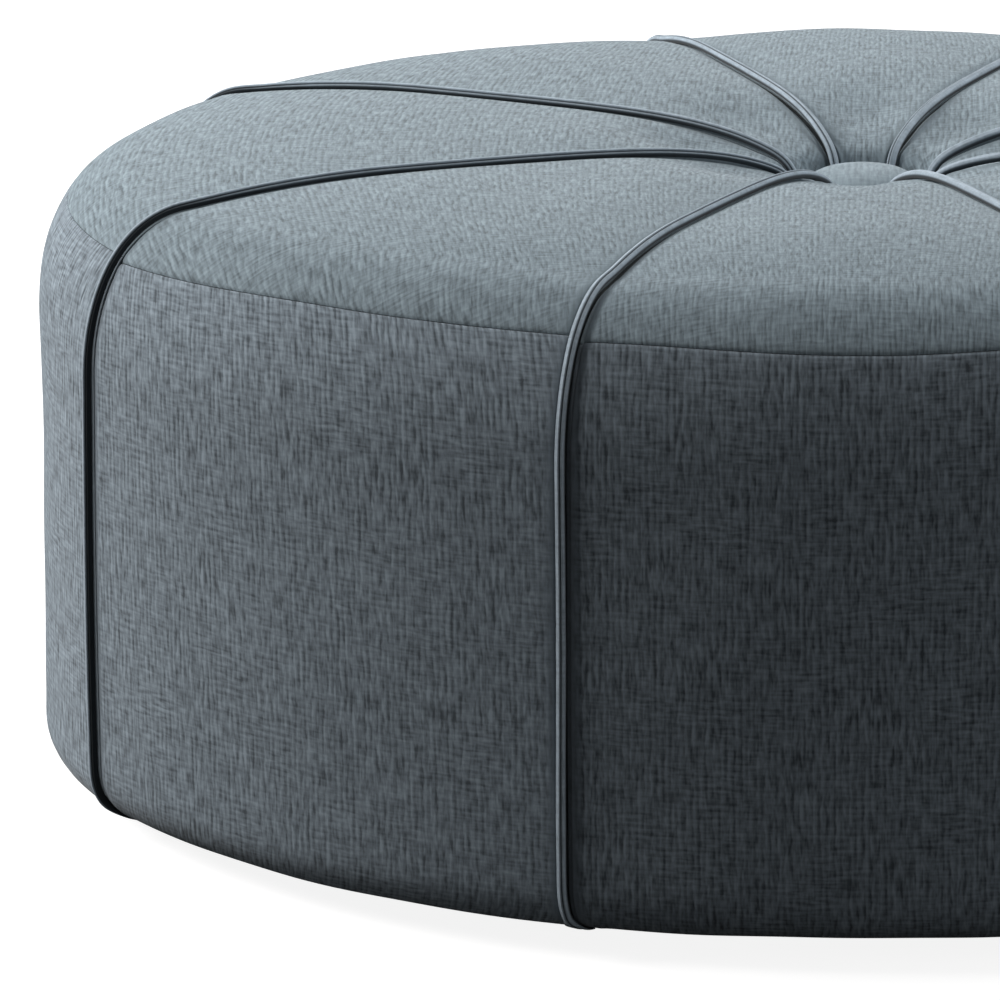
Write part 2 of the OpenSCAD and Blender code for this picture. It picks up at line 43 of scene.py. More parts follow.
SEAM_TURN, TUCK_R, FLAP_W = math.radians(44), 27.0, 34.0
GORE_SWELL, EDGE_SWELL, WELL_SWELL = 3.0, 2.0, 2.0
FABRIC, WELT_R, GATHER_R = 1.5, 3.0, 14.0
FLOOR_R, LIP_R, FLOOR_DEEP, LIP_DEEP, FADE = 39.0, 46.0, 44.0, 23.0, 42.0
WELT_IN, TWINE_HOLE_R = 22.0, 12.0
BASE_Z, DECK_Z, FOAM_IN = 13.8, 256.0, 32.4
BUTTON_R, BUTTON_RISE, BUTTON_UNDER, BUTTON_Z = 34.0, 13.0, 5.4, 332.8
EDGE_Z = CROWN_Z - CROWN_SAG - EDGE_DROP
TUCK_Z = FOOT_H + TUCK_R
RIM_R = HALF_WIDTH - FLARE - EDGE_RUN
RIDGE_R = RIM_R * 0.69
FLAP_IN = TUCK_R + FLAP_W - FLARE
TAIL_IN = TUCK_R - FLARE + 1.0

# The wedges, eight of them in four kinds: front or back, slanting, end, and slanting back
WEDGES = range(1, 9)
HALF, STEP = math.radians(22.5), math.radians(45)
FRONT, SLANT, END, SLANT_BACK = range(4)
BOWS = (19.5, 29.0, 48.0, 29.0)
NEAR_R = (HALF_DEPTH - FLARE - BOWS[FRONT]) / math.cos(HALF)
FAR_R = (HALF_WIDTH - FLARE - BOWS[END]) / math.cos(HALF)


def kind_of(k):
    return (k - 1) % 4


# Smooth steps and humps, and other help with lines and grids of points

def ease(x, low, high):
    """From 0 at low to 1 at high."""
    t = np.clip((x - low) / (high - low), 0, 1)
    return t * t * (3 - 2 * t)


def hump(x, at, width):
    """1 at one place, gone about two widths away from it."""
    return np.exp(-((x - at) / width) ** 2)


def bump_noise(x, y, seed, waves=9, low=1.0, high=3.0):
    """Smooth seeded waves, about -1 to 1."""
    rng = np.random.default_rng(seed)
    out = np.zeros_like(x)
    for _ in range(waves):
        f = rng.uniform(low, high)
        t = rng.uniform(0, 2 * math.pi)
        shift = rng.uniform(0, 6.283)
        out += np.sin(2 * math.pi * f * (x * math.cos(t) + y * math.sin(t)) + shift)
    return out / math.sqrt(waves / 2) / 2


def turned(p, angle):
    c, s = math.cos(angle), math.sin(angle)
    out = p.copy()
    out[..., 0] = p[..., 0] * c - p[..., 1] * s
    out[..., 1] = p[..., 0] * s + p[..., 1] * c
    return out


def normals(p):
    """Outward normals of a grid of points, rows down the outline, columns across."""
    n = np.cross(np.gradient(p, axis=0), np.gradient(p, axis=1))
    return n / np.maximum(1e-9, np.linalg.norm(n, axis=2, keepdims=True))


def distance_from_axis(p):
    return np.hypot(p[..., 0], p[..., 1])


def travelled(x, y):
    """Length along a line at each of its points."""
    return np.r_[0, np.cumsum(np.hypot(np.diff(x), np.diff(y)))]


def evenly(line, count, run):
    """The line at count points, even along its length. run is its horizontal coordinate."""
    d = travelled(run, line[:, 1])
    t = np.linspace(0, d[-1], count)
    return np.column_stack([np.interp(t, d, line[:, i]) for i in range(line.shape[1])])


def softened(line, reach):
    """The line with its kinks eased over about reach points, ends kept."""
    k = np.exp(-0.5 * (np.arange(-3 * reach, 3 * reach + 1) / reach) ** 2)
    k /= k.sum()
    out = line.copy()
    for i in range(line.shape[1]):
        start = 2 * line[0, i] - line[1:3 * reach + 1, i][::-1]
        end = 2 * line[-1, i] - line[-3 * reach - 1:-1, i][::-1]
        out[:, i] = np.convolve(np.r_[start, line[:, i], end], k, "valid")
    return out


# Plan of the outline, an arc between two welts for each panel

def arc_of(kind):
    """Centre and radius of the arc of a kind of panel, whose middle direction is +X."""
    first = (NEAR_R, NEAR_R, FAR_R, FAR_R)[kind]
    last = (NEAR_R, FAR_R, FAR_R, NEAR_R)[kind]
    p = first * np.array([math.cos(HALF), -math.sin(HALF)])
    q = last * np.array([math.cos(HALF), math.sin(HALF)])
    d = q - p
    h = np.linalg.norm(d) / 2
    rho = (h * h + BOWS[kind] ** 2) / (2 * BOWS[kind])
    return (p + q) / 2 - np.array([d[1], -d[0]]) / (2 * h) * (rho - BOWS[kind]), rho


ARCS = [arc_of(kind) for kind in range(4)]


def arc_at(kind, a, d):
    (cx, cy), rho = ARCS[kind]
    x = cx * np.sin(a) - cy * np.cos(a)
    return cx * np.cos(a) + cy * np.sin(a) + np.sqrt((rho - d) ** 2 - x ** 2)


def misfit(kind, d):
    """Half of what two arcs moved in by d miss each other by at their welt."""
    return (arc_at((kind + 1) % 4, -HALF, d) - arc_at(kind, HALF, d)) / 2


def plan_r(kind, a, d):
    """Radius of the outline at angle a from a panel's middle, moved in by d."""
    return (arc_at(kind, a, d) - misfit((kind + 3) % 4, d) * (HALF - a) / STEP
            + misfit(kind, d) * (HALF + a) / STEP)


# Section of the outline, each row a radius, a height, a swell and an inset

def station_r(line, kind, a):
    """Radius of the section's rows at angle a, round in the well and oval at the rim."""
    w = np.clip((line[0] - LIP_R) / (RIM_R - LIP_R), 0, 1)
    return line[0] * (1 + w * (plan_r(kind, a, line[3]) / RIM_R - 1))


def well_dip(r):
    slope = FLOOR_DEEP + (LIP_DEEP - FLOOR_DEEP) * (r - FLOOR_R) / (LIP_R - FLOOR_R)
    fading = LIP_DEEP * np.exp(-(r - LIP_R) / FADE)
    return np.where(r <= FLOOR_R, FLOOR_DEEP, np.where(r < LIP_R, slope, fading))


def crown_line(r):
    s = np.interp(r, [LIP_R, RIDGE_R, RIM_R], [WELL_SWELL, GORE_SWELL, EDGE_SWELL])
    outside = np.maximum(0, r - RIDGE_R) / (RIM_R - RIDGE_R)
    fall = (CROWN_SAG + EDGE_SWELL - GORE_SWELL) * outside ** 2
    return np.c_[r, CROWN_Z - GORE_SWELL - well_dip(r) - fall + s, s, EDGE_RUN + 0 * r]


def edge_line(u):
    s = EDGE_SWELL * np.maximum(0, (np.cos(u) - math.cos(SEAM_TURN)) / (1 - math.cos(SEAM_TURN)))
    inset = EDGE_RUN * (1 - np.sin(u))
    return np.c_[RIM_R + 0 * u, EDGE_Z + EDGE_DROP * np.cos(u), s, inset]


def side_line(z):
    inset = -FLARE * np.sin(math.pi / 2 * (EDGE_Z - z) / (EDGE_Z - TUCK_Z))
    return np.c_[RIM_R + 0 * z, z, 0 * z, inset]


def tuck_line(u):
    inset = TUCK_R * (1 - np.cos(u)) - FLARE
    return np.c_[RIM_R + 0 * u, TUCK_Z - TUCK_R * np.sin(u), 0 * u, inset]


CROWN_POINTS, EDGE_POINTS = 900, 120
raw = np.vstack([
    crown_line(np.linspace(GATHER_R, RIM_R, CROWN_POINTS)),
    edge_line(np.linspace(0, SEAM_TURN, EDGE_POINTS)[1:]),
    edge_line(np.linspace(SEAM_TURN, math.pi / 2, 60)[1:]),
    side_line(np.linspace(EDGE_Z, TUCK_Z, 200)[1:]),
    tuck_line(np.linspace(0, math.pi / 2, 60)[1:]),
    [[RIM_R, FOOT_H, 0, FLAP_IN]]])
whole = softened(evenly(raw, 1800, raw[:, 0] - raw[:, 3]), 8)

# Lengths down the outline: of each row, of the whole, of the ring seam and of the turn under
along = travelled(whole[:, 0] - whole[:, 3], whole[:, 1])
LENGTH = along[-1]
at_seam = raw[CROWN_POINTS + EDGE_POINTS - 2]
SEAM_V = float(along[np.argmin(np.hypot(whole[:, 1] - at_seam[1], whole[:, 3] - at_seam[3]))])
below = slice(-500, None)
TUCK_V = float(np.interp(TUCK_R * 0.7, TUCK_Z - whole[below, 1], along[below]))

# Relief that the photo shows on the CAD's plain form

# In millimetres, first how deep or high a form is, then where it lies and how wide it is
# How much higher the ring seam lies on each kind of panel
SEAM_LIFT = (-3.2, 3.0, 2.0, 3.0)
# The seam climbs to the front and back panels' welts and drops to the end panels
SEAM_CLIMB, SEAM_DROP, SEAM_REACH = 3.0, 5.0, 50.0
# It does so between these shares of a panel's half width
CLIMB_RUN, DROP_RUN = (0.1, 0.8), (-0.1, 1.0)
# The seam pinches the fabric and lifts it on both sides, hardly so on the end panels
PINCH, PINCH_END, PINCH_WIDE = 0.8, 0.15, 1.0
LIPS_SHARE, LIPS_OFF, LIPS_WIDE = 0.25, 5.0, 2.6
# The top is pulled down beside the welts of the front and back panels
VALLEY, VALLEY_START, VALLEY_END = 1.6, (60, 200), (390, 500)
# The fabric dives under each welt, and rolls down to it more on a wedge's left than its right
DIVE, DIVE_OFF, DIVE_SHARP = 3.0, 3.6, 0.25
ROLL, ROLL_OFF, ROLL_WIDE = (1.0, 0.3), 3.5, (6.0, 2.0)
# Both fade by this share where the cover turns under
TUCKED, TUCK_FADE = 0.85, (-16, 8)
# The turnings lift a low ridge on the left, but not in the well
RIDGE, RIDGE_OFF, RIDGE_WIDE = 0.4, 11.0, 2.6
# The middle of each gore sinks between the welts on its way to the button
SINK, SINK_R, SINK_WIDE = 7.8, 90.0, 40.0
# The end panels are padded fuller at their top and bottom edges
FULL_TOP, FULL_TOP_OFF, FULL_TOP_WIDE = 3.8, 16.0, 34.0
FULL_LOW, FULL_LOW_WIDE = 3.5, 18.0
# Gathers in the well, deepest beside the welts: so many to a gore's half, swaying as they fall
GATHER, GATHERS, GATHER_AT, GATHER_WIDE = 0.55, 3.4, 50.0, 26.0
GATHER_MIDDLE, GATHER_SWAY, GATHER_LONG, GATHER_SEED = 0.35, 0.6, 60, 40
# Hand-stretched unevenness
UNEVEN, UNEVEN_ACROSS, UNEVEN_DOWN, UNEVEN_SEED = 0.9, 260.0, 300.0, 70

# Distances of the outer columns of points from the middle of the welt beside them
BESIDE = np.array([1.2, 2.0, 2.6, 3.0, 3.3, 3.6, 3.9, 4.2, 4.6,
                   5.1, 5.8, 6.8, 8.0, 9.5, 11.5, 14.0, 18.0])
# They move together where half a wedge is narrower than this
NARROW = 22.0
# Columns of points between them
MIDDLE = 31


def valley(kind, v, a):
    """How far the top is pulled down beside the near welts, at lengths v and angles a."""
    near = {FRONT: True, SLANT: a < 0, END: False, SLANT_BACK: a > 0}[kind]
    deep = np.where(near, VALLEY, 0.0)
    return deep * ease(v, *VALLEY_START) * (1 - ease(v, *VALLEY_END)) * np.abs(a / HALF) ** 3


def seam_bend(kind, v, a):
    """How much higher the section lies round the ring seam, at lengths v and angles a."""
    if kind == FRONT:
        return SEAM_CLIMB * ease(np.abs(a) / HALF, *CLIMB_RUN) * hump(v, SEAM_V, SEAM_REACH)
    side = {SLANT: 1, SLANT_BACK: -1}.get(kind, 0)
    return -SEAM_DROP * ease(side * a / HALF, *DROP_RUN) * hump(v, SEAM_V, SEAM_REACH)


def placed(kind, v, a):
    """Points of the plain outline and their radii, at lengths v and angles a."""
    line = [np.interp(v, along, whole[:, i]) for i in range(4)]
    r = station_r(line, kind, a)
    z = line[1] - line[2] * (a / HALF) ** 2 - valley(kind, v, a)
    return np.dstack([r * np.sin(a), -r * np.cos(a), z]), r


def surface(kind, v):
    """A wedge's points at lengths v, its normals, angles and distances from the welts."""
    line = [np.interp(v, along, whole[:, i])[:, None] for i in range(4)]
    ends = []
    for end in (-HALF, HALF):
        r = station_r(line, kind, end)
        share = np.minimum(1, r * math.sin(HALF) / NARROW)
        ends.append(HALF - np.arcsin(BESIDE[None, :] * share / r))
    t = np.linspace(0, 1, MIDDLE + 2)[None, 1:-1]
    between = -ends[0][:, -1:] * (1 - t) + ends[1][:, -1:] * t
    a = np.hstack([-ends[0], between, ends[1][:, ::-1]])
    p, r = placed(kind, v[:, None] - seam_bend(kind, v[:, None], a), a)
    return p, normals(p), a, r * np.sin(HALF - np.abs(a))


def grid_faces(rows, cols, start=0, flip=False, closed=False):
    out = []
    last = cols if closed else cols - 1
    for i in range(rows - 1):
        for j in range(last):
            a, b = start + i * cols + j, start + i * cols + (j + 1) % cols
            c, d = b + cols, a + cols
            out.append((a, d, c, b) if flip else (a, b, c, d))
    return out


# Cloth simulation of the cover between its seams, on a coarse grid of each wedge
ROWS, COLS, CAP, FRAMES = 64, 25, 2.5, 20


def settled():
    """How far the simulation moves the cover outwards, CAP at most, for each wedge."""
    v = np.linspace(0, LENGTH, ROWS)[:, None]
    a = np.linspace(-HALF, HALF, COLS)[None, :] + 0 * v
    points, outward, faces, held = [], [], [], []
    for k in WEDGES:
        p = placed(kind_of(k), v + 0 * a, a)[0]
        points.append(turned(p, STEP * (k - 1)))
        outward.append(turned(normals(p), STEP * (k - 1)))
        first = (k - 1) * ROWS * COLS
        faces += grid_faces(ROWS, COLS, first, True)
        ids = np.arange(ROWS * COLS).reshape(ROWS, COLS) + first
        held += np.r_[ids[:3].ravel(), ids[-2:].ravel(), ids[:, 0], ids[:, -1]].tolist()
    points, outward = np.array(points).reshape(-1, 3) / 1000, np.array(outward).reshape(-1, 3)
    me = bpy.data.meshes.new("settling")
    me.from_pydata(points.tolist(), [], faces)
    o = bpy.data.objects.new("settling", me)
    bpy.context.collection.objects.link(o)
    o.vertex_groups.new(name="held").add(sorted(set(held)), 1.0, "REPLACE")
    cloth = o.modifiers.new("cloth", "CLOTH")
    c = cloth.settings
    c.vertex_group_mass = "held"
    c.quality = 6
    c.mass = 0.3
    c.tension_stiffness = c.compression_stiffness = 30
    c.shear_stiffness = 15
    c.bending_stiffness = 2
    c.use_pressure = True
    c.uniform_pressure_force = 4
    c.effector_weights.gravity = 0
    cloth.point_cache.frame_start, cloth.point_cache.frame_end = 1, FRAMES
    for f in range(1, FRAMES + 1):
        bpy.context.scene.frame_set(f)
    done = o.evaluated_get(bpy.context.evaluated_depsgraph_get()).to_mesh()
    now = np.empty(len(points) * 3)
    done.vertices.foreach_get("co", now)
    bpy.context.scene.frame_set(1)
    bpy.data.objects.remove(o)
    bpy.data.meshes.remove(me)
    move = ((now.reshape(-1, 3) - points) * outward).sum(1) * 1000
    return CAP * np.tanh(move / CAP).reshape(-1, ROWS, COLS)


SETTLED = settled()


def spline(t):
    """Weight of a grid point t steps away, of the cubic B-spline."""
    return np.where(t < 1, 2 / 3 - t ** 2 + t ** 3 / 2, np.maximum(0, 2 - t) ** 3 / 6)


def moved(k, v, a):
    """The simulation's movement at any place of wedge k."""
    i = np.clip(v / LENGTH, 0, 1) * (ROWS - 1)
    j = np.clip((a / HALF + 1) / 2, 0, 1) * (COLS - 1)
    i0, j0 = np.floor(i).astype(int), np.floor(j).astype(int)
    out = 0
    for q in range(-1, 3):
        row = np.clip(i0 + q, 0, ROWS - 1)
        for w in range(-1, 3):
            col = np.clip(j0 + w, 0, COLS - 1)
            weight = spline(np.abs(i - i0 - q)) * spline(np.abs(j - j0 - w))
            out = out + weight * SETTLED[k - 1, row, col]
    return out


def dressed(k, v):
    """Wedge k at lengths v with all its relief: points, normals, angles, distances from welts."""
    kind = kind_of(k)
    p, n, a, off = surface(kind, v)
    r = distance_from_axis(p)
    v = v[:, None] + 0 * a
    left = a < 0
    mid = np.cos(math.pi / 2 * np.clip(a / HALF, -1, 1))
    rolling = np.maximum(0, off - ROLL_OFF)
    push = -np.where(left, *ROLL) * hump(rolling, 0, np.where(left, *ROLL_WIDE))
    push -= DIVE / (1 + np.exp(np.clip((off - DIVE_OFF) / DIVE_SHARP, -40, 40)))
    push *= 1 - TUCKED * ease(v, TUCK_V + TUCK_FADE[0], TUCK_V + TUCK_FADE[1])
    clear = np.clip((r - SINK_R) / SINK_R, 0, 1)
    push += np.where(left, RIDGE, 0.0) * clear * hump(off, RIDGE_OFF, RIDGE_WIDE)
    push -= SINK * mid * hump(r, SINK_R, SINK_WIDE)
    if kind == END:
        push += mid ** 0.7 * (FULL_TOP * hump(v - SEAM_V, FULL_TOP_OFF, FULL_TOP_WIDE)
                              + FULL_LOW * hump(v, TUCK_V, FULL_LOW_WIDE))
    seam = SEAM_V - SEAM_LIFT[kind]
    depth = PINCH_END if kind == END else PINCH
    push -= depth * hump(v, seam, PINCH_WIDE)
    push += depth * LIPS_SHARE * hump(np.abs(v - seam), LIPS_OFF, LIPS_WIDE)
    phase = bump_noise(v / GATHER_LONG, a * 3, GATHER_SEED + k, 5, 0.4, 1.0)
    waves = np.cos(2 * math.pi * (GATHERS * a / HALF + GATHER_SWAY * phase))
    waves = waves * (GATHER_MIDDLE + (1 - GATHER_MIDDLE) * np.abs(a) / HALF)
    push += GATHER * waves * hump(r, GATHER_AT, GATHER_WIDE)
    across, down = r * a / UNEVEN_ACROSS + 3 * k, v / UNEVEN_DOWN
    push += UNEVEN * mid * bump_noise(across, down, UNEVEN_SEED + k)
    push += moved(k, v, a)
    p = p + n * push[..., None]
    return p, normals(p), a, off


# Meshes

def mesh(name, verts, faces, uv=None, near=None):
    """An object that rides on the root, from millimetres. near is how close a welt is, 0 to 1, and
    on a welt cord how much painted shade it takes.
    """
    me = bpy.data.meshes.new(name)
    me.from_pydata((np.asarray(verts).reshape(-1, 3) * 0.001).tolist(), [], faces)
    if uv is not None:
        layer = me.uv_layers.new(name="threads")
        idx = np.empty(len(me.loops), int)
        me.loops.foreach_get("vertex_index", idx)
        layer.data.foreach_set("uv", (np.asarray(uv).reshape(-1, 2)[idx] * 0.001).ravel())
    if near is not None:
        layer = me.attributes.new("near", "FLOAT", "POINT")
        layer.data.foreach_set("value", np.asarray(near).ravel())
    me.polygons.foreach_set("use_smooth", [True] * len(me.polygons))
    me.update()
    o = bpy.data.objects.new(name, me)
    bpy.context.collection.objects.link(o)
    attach(o, "root")
    return o


def shell(name, outer, inner, uv=None, near=None):
    """A closed solid between two grids of the same shape."""
    rows, cols = outer.shape[:2]
    n = rows * cols
    faces = grid_faces(rows, cols, 0, True) + grid_faces(rows, cols, n, False)
    rim = [(0, j) for j in range(cols)]
    rim += [(i, cols - 1) for i in range(1, rows)]
    rim += [(rows - 1, j) for j in range(cols - 2, -1, -1)]
    rim += [(i, 0) for i in range(rows - 2, 0, -1)]
    ids = [i * cols + j for i, j in rim]
    for q, a in enumerate(ids):
        b = ids[(q + 1) % len(ids)]
        faces.append((a, b, b + n, a + n))
    verts = np.vstack([outer.reshape(-1, 3), inner.reshape(-1, 3)])
    if uv is not None:
        uv = np.vstack([uv.reshape(-1, 2)] * 2)
        near = np.r_[near.ravel(), near.ravel()]
    return mesh(name, verts, faces, uv, near)


BESIDE_SEAM = np.array([0.5, 0.8, 1.3, 1.9, 2.6, 3.5, 5, 7])


def lengths(a, b, count, seam, start):
    """Lengths from a to b, closer together at the start and beside the seam."""
    v = a + (b - a) * np.linspace(0, 1, count) ** start
    extra = seam + np.r_[-BESIDE_SEAM[::-1], BESIDE_SEAM]
    return np.unique(np.r_[v, extra[(extra > a) & (extra < b)]])


# Shaders

def principled(name, color, rough=0.9, **more):
    m = bpy.data.materials.new(name)
    m.use_nodes = True
    b = m.node_tree.nodes["Principled BSDF"]
    b.inputs["Base Color"].default_value = (*color, 1)
    b.inputs["Roughness"].default_value = rough
    for k, v in more.items():
        b.inputs[k].default_value = v
    return m, m.node_tree, b


def add(nt, kind, **values):
    n = nt.nodes.new(kind)
    for k, v in values.items():
        setattr(n, k, v)
    return n


def maths(nt, op, a, b=None, c=None):
    n = add(nt, "ShaderNodeMath", operation=op)
    for i, x in enumerate((a, b, c)):
        if x is None:
            continue
        if isinstance(x, (int, float)):
            n.inputs[i].default_value = x
        else:
            nt.links.new(x, n.inputs[i])
    return n.outputs[0]


def noise(nt, vec, scale, detail=1.0, rough=0.5):
    """Noise with its own scale along each axis."""
    m = add(nt, "ShaderNodeMapping")
    m.inputs["Scale"].default_value = scale
    nt.links.new(vec, m.inputs["Vector"])
    n = add(nt, "ShaderNodeTexNoise", noise_dimensions="3D")
    n.inputs["Scale"].default_value = 1.0
    n.inputs["Detail"].default_value = detail
    n.inputs["Roughness"].default_value = rough
    nt.links.new(m.outputs["Vector"], n.inputs["Vector"])
    return n.outputs["Fac"]


def tones(nt, fac, stops):
    ramp = add(nt, "ShaderNodeValToRGB")
    for e, (at, color) in zip(ramp.color_ramp.elements, stops):
        e.position = at
        e.color = (*color, 1)
    nt.links.new(fac, ramp.inputs["Fac"])
    return ramp.outputs["Color"]


def bumped(nt, b, height, strength, distance):
    bump = add(nt, "ShaderNodeBump")
    bump.inputs["Strength"].default_value = strength
    bump.inputs["Distance"].default_value = distance
    nt.links.new(height, bump.inputs["Height"])
    nt.links.new(bump.outputs["Normal"], b.inputs["Normal"])


# Threads of the linen, as noise with so many cells to a metre across and down the cloth
WARP, WEFT, FINE = (470, 85, 1), (85, 480, 1), (760, 320, 1)
SLUB, PATCH = (280, 30, 1), (26, 26, 1)
YARN_SHARE, FINE_SHARE, SLUB_SHARE = 0.69, 0.15, 0.16
# Ribs across and down the cloth, in radians a metre
RIBS, RIB_WANDER, RIB_ACROSS, RIB_DOWN = 1650.0, 5.0, 0.040, 0.015
# The ends of the tones' range, and the tone that the threads near a welt are evened to
DIM, BRIGHT, EVEN_TONE, EVENED = 0.345, 0.655, 0.47, 0.8
# The near-black that the welts are painted with as shade in their creases and grooves
SHADE = (0.012, 0.014, 0.016, 1)


def linen(name, base, low, high, strong=0.4, shade_share=0.0):
    """A linen-look cloth with uneven threads, evened where the mesh's near is 1, and there painted
    dark as shade by the share in its last argument.
    """
    m, nt, b = principled(name, base, 0.95)
    uv = add(nt, "ShaderNodeUVMap", uv_map="threads").outputs["UV"]
    warp, fine, weft = noise(nt, uv, WARP), noise(nt, uv, FINE), noise(nt, uv, WEFT)
    slub, patch = noise(nt, uv, SLUB), noise(nt, uv, PATCH)
    # In some patches the threads down the piece show more, in others those across it
    lean = maths(nt, "MULTIPLY_ADD", maths(nt, "SUBTRACT", patch, 0.5), 1.2, 0.66)
    cross = maths(nt, "SUBTRACT", 1.0, lean)
    total = maths(nt, "ADD", maths(nt, "MULTIPLY", warp, lean), maths(nt, "MULTIPLY", weft, cross))
    total = maths(nt, "MULTIPLY", total, YARN_SHARE)
    total = maths(nt, "ADD", total, maths(nt, "MULTIPLY", fine, FINE_SHARE))
    total = maths(nt, "ADD", total, maths(nt, "MULTIPLY", slub, SLUB_SHARE))
    # The even ribs of the weave, wandering a little
    split = add(nt, "ShaderNodeSeparateXYZ")
    nt.links.new(uv, split.inputs[0])
    for axis, size, wander in ((0, RIB_ACROSS, warp), (1, RIB_DOWN, weft)):
        turns = maths(nt, "MULTIPLY", split.outputs[axis], RIBS)
        phase = maths(nt, "MULTIPLY_ADD", wander, RIB_WANDER, turns)
        total = maths(nt, "MULTIPLY_ADD", maths(nt, "SINE", phase), size, total)
    near = add(nt, "ShaderNodeAttribute", attribute_name="near").outputs["Fac"]
    plain = maths(nt, "MULTIPLY", near, maths(nt, "SUBTRACT", EVEN_TONE, total))
    total = maths(nt, "MULTIPLY_ADD", plain, EVENED, total)
    color = tones(nt, total, [(DIM, [c * low for c in base]),
                              (BRIGHT, [min(1, c * high) for c in base])])
    # Painted shade: where near is high the colour is mixed towards near-black
    if shade_share:
        shade = add(nt, "ShaderNodeMix", data_type="RGBA")
        nt.links.new(maths(nt, "MULTIPLY", near, shade_share), shade.inputs[0])
        nt.links.new(color, shade.inputs[6])
        shade.inputs[7].default_value = SHADE
        color = shade.outputs[2]
    nt.links.new(color, b.inputs["Base Color"])
    bumped(nt, b, total, strong, 0.0006)
    b.inputs["Sheen Weight"].default_value = 0.12
    b.inputs["Sheen Roughness"].default_value = 0.5
    b.inputs["Specular IOR Level"].default_value = 0.0
    return m


def toned(color, share):
    return tuple(c * share for c in color)


CLOTH = (0.219, 0.261, 0.299)
# The top looks a little greener in the light from above
TOP = (CLOTH[0] * 1.06, CLOTH[1] * 1.10, CLOTH[2] * 1.08)
cloth = linen("blue_grey_linen", TOP, 0.58, 1.42)
sides = linen("blue_grey_linen_sides", CLOTH, 0.45, 1.69)
# The front and back panels look darker: their copy of the cloth is darkened as painted shade
front_back_shaded = linen("blue_grey_linen_shaded", toned(CLOTH, 0.78), 0.42, 1.66)
# The welts are painted up to 0.94 of the way to near-black as shade, where their near attribute
# says
piping = linen("welt_linen", toned(CLOTH, 1.75), 0.8, 1.2, 0.2, 0.94)
plain = linen("button_linen", toned(TOP, 1.15), 0.78, 1.22, 0.25)
foam = principled("grey_foam", (0.06, 0.07, 0.075), 0.95)[0]

# The cover, eight gores and eight side panels, over a crowned pad and eight side pads
UNDER = FABRIC + 0.4
SEAM_GAP = 0.12
beyond = along > SEAM_V
deck_v = float(np.interp(-DECK_Z, -whole[beyond, 1], along[beyond]))
pad_v = lengths(0, deck_v, 150, SEAM_V, 1.2)
crown = []
# Flat sizes that the pieces are cut to, net of seams, for the front, slanting and end kinds:
# widest and longest in metres, and area in square metres, as measured over the padded form
CUT = {
    "gore": [(0.294, 0.470, 0.0580), (0.326, 0.464, 0.0682), (0.357, 0.465, 0.0830)],
    "panel": [(0.311, 0.374, 0.1146), (0.344, 0.380, 0.1278), (0.374, 0.379, 0.1409)],
}
# Each piece takes its threads from its own place in the cloth
TOP_AT, PANEL_AT, WELT_AT, BUTTON_AT = 3000, 700, 50, 900
# The threads are evened towards a welt
NEAR_OFF, NEAR_WIDE = 4.5, 4.0
for k in WEDGES:
    kind, at = kind_of(k), STEP * (k - 1)
    seam = SEAM_V - SEAM_LIFT[kind]
    gore_v = lengths(0, seam - SEAM_GAP, 120, seam, 1.4)
    panel_v = lengths(seam + SEAM_GAP, LENGTH, 100, seam, 1.0)
    for part, v in (("gore", gore_v), ("panel", panel_v)):
        p, n, a, off = dressed(k, v)
        if part == "gore":
            # The threads of the top run front to back on every gore
            reach = v[:, None] + GATHER_R
            uv = np.dstack([reach * np.sin(a + at), -reach * np.cos(a + at)]) + TOP_AT
        else:
            # On the slanting panels they stay in planes that run front to back
            slant = {SLANT: 1, SLANT_BACK: -1}.get(kind, 0)
            r = distance_from_axis(p)
            across = r * a + slant * (r - plan_r(kind, a, 0.0))
            uv = np.dstack([across + PANEL_AT * k, v[:, None] + 0 * a])
        near = hump(np.maximum(0, off - NEAR_OFF), 0, NEAR_WIDE)
        o = shell(f"{part}_{k}", turned(p, at), turned(p - n * FABRIC, at), uv, near)
        # Gores take the top's cloth, front and back panels the painted-shade copy, the rest the
        # sides' cloth
        o.data.materials.append(cloth if part == "gore" else front_back_shaded if kind == FRONT else sides)
        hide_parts(f"top_gore_{k}" if part == "gore" else f"side_panel_{k}")
        wide, tall, area = CUT[part][min(kind, 4 - kind)]
    p, n, a, off = dressed(k, pad_v)
    crown.append(turned(p - n * UNDER, at))
    p, n, a, off = dressed(k, np.r_[deck_v, panel_v[panel_v > deck_v]])
    outer = p - n * UNDER
    outer[..., 2] = np.clip(outer[..., 2], BASE_Z, DECK_Z)
    keep = distance_from_axis(outer[:, MIDDLE]) > plan_r(kind, 0.0, FOAM_IN)
    outer, a = outer[keep], a[keep]
    r = plan_r(kind, a, FOAM_IN)
    z = np.linspace(DECK_Z, BASE_Z, len(a))[:, None] + 0 * a
    inner = np.dstack([r * np.sin(a), -r * np.cos(a), z])
    pad = shell(f"side_pad_{k}", turned(outer, at), turned(inner, at))
    pad.data.materials.append(foam)
    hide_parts(f"side_foam_{k}")

crown = np.hstack(crown)
PAD_Z = DECK_Z + 0.3
crown[-1, :, 2] = PAD_Z
hole = crown[:1] * [TWINE_HOLE_R / GATHER_R, TWINE_HOLE_R / GATHER_R, 1]
floor_ring = hole.copy()
floor_ring[..., 2] = PAD_Z
belt = np.vstack([hole, crown, floor_ring])
rows, cols = belt.shape[:2]
last = (rows - 1) * cols
faces = grid_faces(rows, cols, 0, True, True)
faces += [(last + j, j, (j + 1) % cols, last + (j + 1) % cols) for j in range(cols)]
pad = mesh("top_pad", belt, faces)
pad.data.materials.append(foam)
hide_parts("top_foam")

# Welts, each a cord in a folded strip whose stitching makes a crease along it

# Angles round the cord are from its outer side, in radians towards the next wedge
WELT_POINTS, ROUND = 460, np.linspace(-math.pi, math.pi, 49)[:-1]
STITCH_FAR, STITCH_NEAR = 1.0, 0.38
